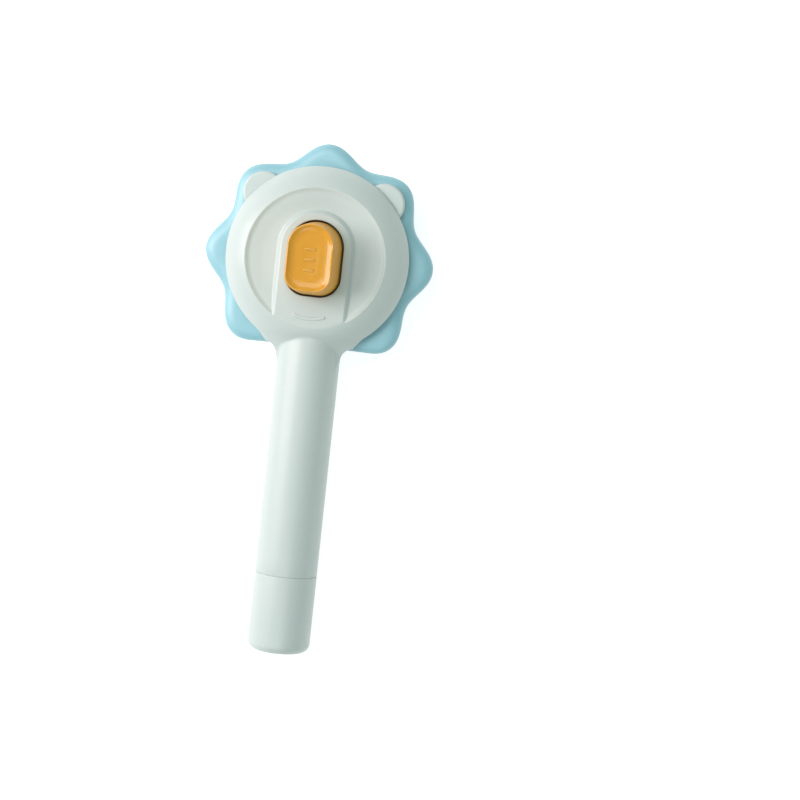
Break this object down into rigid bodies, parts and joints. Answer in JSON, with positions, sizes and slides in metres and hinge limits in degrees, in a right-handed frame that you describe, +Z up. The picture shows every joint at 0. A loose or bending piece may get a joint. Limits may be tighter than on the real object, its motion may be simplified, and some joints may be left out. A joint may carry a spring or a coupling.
{
  "type": "pet grooming brush",
  "caption": "Round-headed pet grooming brush whose tall thumb button drives a scalloped plate down over steel pins to push the collected hair off",
  "frame": {"origin": "On the ground under the middle of the brush's bounding box; the pin tips touch the ground.", "axes": "+Y runs from the handle's end to the head, +X to the right with the thumb button on top, +Z up out of the back through the thumb button."},
  "size_m": [0.0896, 0.2, 0.0463],
  "materials": {
    "shell_plastic": "semi-gloss moulded ABS, pale mint",
    "plate_plastic": "semi-gloss moulded ABS, light blue",
    "button_plastic": "gloss moulded ABS, orange",
    "inner_plastic": "natural acetal",
    "pin_steel": "polished stainless wire",
    "spring_steel": "drawn spring wire",
    "rod_steel": "ground stainless rod",
    "screw_steel": "stainless screw",
    "seal_rubber": "moulded rubber"
  },
  "bodies": {
    "housing": {"body_shell": "shell_plastic", "end_cap": "shell_plastic", "cap_seal": "seal_rubber", "front_shell": "shell_plastic", "pin_base": "plate_plastic", "inner_pins": "pin_steel", "outer_pins": "pin_steel", "spring_guide": "inner_plastic", "guide_screw": "screw_steel", "shell_screws": "screw_steel", "pin_base_screws": "screw_steel", "return_spring": "spring_steel"},
    "ejector": {"button_cap": "button_plastic", "button_carrier": "inner_plastic", "carrier_screws": "screw_steel", "guide_rod_1": "rod_steel", "guide_rod_2": "rod_steel", "guide_rod_3": "rod_steel", "guide_rod_4": "rod_steel", "rod_screws": "screw_steel", "plate_screws": "screw_steel", "ejector_plate": "plate_plastic"}
  },
  "joints": [
    {"name": "button_press", "type": "slide", "parent": "housing", "child": "ejector", "axis": [0, 0, -1], "range_m": [0, 0.008], "stiffness_N_per_m": 350, "springref_m": -0.006, "deforming": ["return_spring"]}
  ]
}
